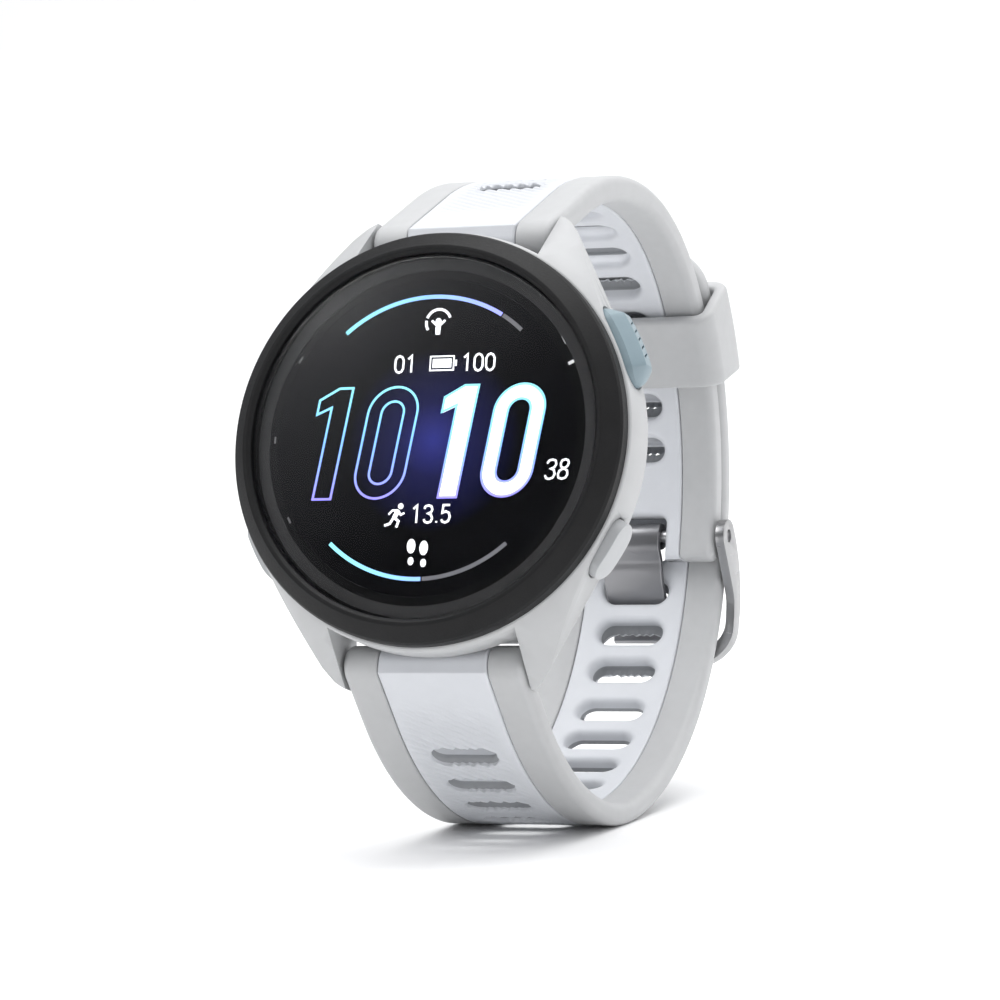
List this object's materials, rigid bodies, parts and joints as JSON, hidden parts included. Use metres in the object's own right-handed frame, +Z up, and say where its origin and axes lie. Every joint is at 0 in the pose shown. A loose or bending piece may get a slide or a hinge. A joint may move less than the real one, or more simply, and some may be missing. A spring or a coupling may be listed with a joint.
{
  "type": "gps running watch",
  "caption": "Round-faced running watch with five side buttons, standing on its own buckled slotted two-tone silicone strap with pin buckle and sliding keeper.",
  "frame": {"origin": "Centre of the footprint of the bounding box, at the height of the strap's lowest point", "axes": "+Z up, the dial faces -Y leaning back 16 degrees, +X is the wearer's 3 o'clock side; the strap loop runs behind the dial to +Y"},
  "size_m": [0.0454, 0.0718, 0.0694],
  "materials": {
    "black_bezel": "satin, fine texture",
    "cover_glass": "polished",
    "black_seal": "matte",
    "display": "gloss",
    "flex_foil": "satin",
    "inner_metal": "satin",
    "light_case": "smooth matte",
    "rear_cover": "smooth matte",
    "screw_steel": "satin",
    "sensor_window": "gloss",
    "blue_board": "satin",
    "emitter_lens": "gloss",
    "gold": "satin",
    "green_board": "satin",
    "chip_black": "matte",
    "battery_foil": "satin",
    "red_seal": "matte",
    "grey_silicone": "smooth matte",
    "white_silicone": "smooth matte",
    "buckle_steel": "satin",
    "tongue_steel": "satin",
    "keeper_silicone": "smooth matte",
    "start_key": "satin",
    "light_button": "satin"
  },
  "bodies": {
    "case": {"bezel_ring": "black_bezel", "cover_glass": "cover_glass", "glass_gasket": "black_seal", "display_module": "display", "display_flex": "flex_foil", "inner_frame": "inner_metal", "main_case": "light_case", "rear_cover": "rear_cover", "rear_gasket": "black_seal", "cover_screws": "screw_steel", "sensor_window": "sensor_window", "sensor_board": "blue_board", "sensor_emitters": "emitter_lens", "charge_contacts": "gold", "main_board": "green_board", "board_chips": "chip_black", "shield_can": "inner_metal", "battery": "battery_foil", "vibration_motor": "inner_metal", "buzzer": "gold", "antenna_ring": "gold", "button_switches": "inner_metal", "button_seals": "red_seal", "strap_upper_rails": "grey_silicone", "strap_upper_insert": "white_silicone", "spring_bar_upper": "screw_steel", "release_spring_upper": "screw_steel", "buckle_pivot": "screw_steel", "strap_lower_rails": "grey_silicone", "strap_lower_insert": "white_silicone", "spring_bar_lower": "screw_steel", "release_spring_lower": "screw_steel"},
    "button_light": {"button_light": "light_button", "clip_light": "screw_steel"},
    "button_up": {"button_up": "light_button", "clip_up": "screw_steel"},
    "button_down": {"button_down": "light_button", "clip_down": "screw_steel"},
    "button_start": {"button_start": "start_key", "clip_start": "screw_steel"},
    "button_back": {"button_back": "light_button", "clip_back": "screw_steel"},
    "release_pin_upper": {"release_pin_upper": "screw_steel"},
    "release_pin_lower": {"release_pin_lower": "screw_steel"},
    "buckle_frame": {"buckle_frame": "buckle_steel"},
    "buckle_tongue": {"buckle_tongue": "tongue_steel"},
    "keeper_loop": {"keeper_loop": "keeper_silicone"}
  },
  "joints": [
    {"name": "button_light_press", "type": "slide", "parent": "case", "child": "button_light", "axis": [0.866, -0.1378, -0.4806], "range_m": [0, 0.0006], "stiffness_N_per_m": 2500},
    {"name": "button_up_press", "type": "slide", "parent": "case", "child": "button_up", "axis": [1, 0, 0], "range_m": [0, 0.0006], "stiffness_N_per_m": 2500},
    {"name": "button_down_press", "type": "slide", "parent": "case", "child": "button_down", "axis": [0.866, 0.1378, 0.4806], "range_m": [0, 0.0006], "stiffness_N_per_m": 2500},
    {"name": "button_start_press", "type": "slide", "parent": "case", "child": "button_start", "axis": [-0.891, -0.1251, -0.4364], "range_m": [0, 0.0006], "stiffness_N_per_m": 2500},
    {"name": "button_back_press", "type": "slide", "parent": "case", "child": "button_back", "axis": [-0.866, 0.1378, 0.4806], "range_m": [0, 0.0006], "stiffness_N_per_m": 2500},
    {"name": "release_pin_upper_retract", "type": "slide", "parent": "case", "child": "release_pin_upper", "axis": [-1, 0, 0], "range_m": [0, 0.0012], "stiffness_N_per_m": 500},
    {"name": "release_pin_lower_retract", "type": "slide", "parent": "case", "child": "release_pin_lower", "axis": [-1, 0, 0], "range_m": [0, 0.0012], "stiffness_N_per_m": 500},
    {"name": "buckle_frame_hinge", "type": "hinge", "parent": "case", "child": "buckle_frame", "pos_m": [0, 0.02923, 0.02837], "axis": [1, 0, 0], "range_deg": [0, 60]},
    {"name": "tongue_hinge", "type": "hinge", "parent": "case", "child": "buckle_tongue", "pos_m": [0, 0.02923, 0.02837], "axis": [1, 0, 0], "range_deg": [-1, 1]},
    {"name": "keeper_slide_along_tail", "type": "hinge", "parent": "case", "child": "keeper_loop", "pos_m": [0, -0.00167, 0.0389], "axis": [1, 0, 0], "range_deg": [-12, 4]}
  ]
}
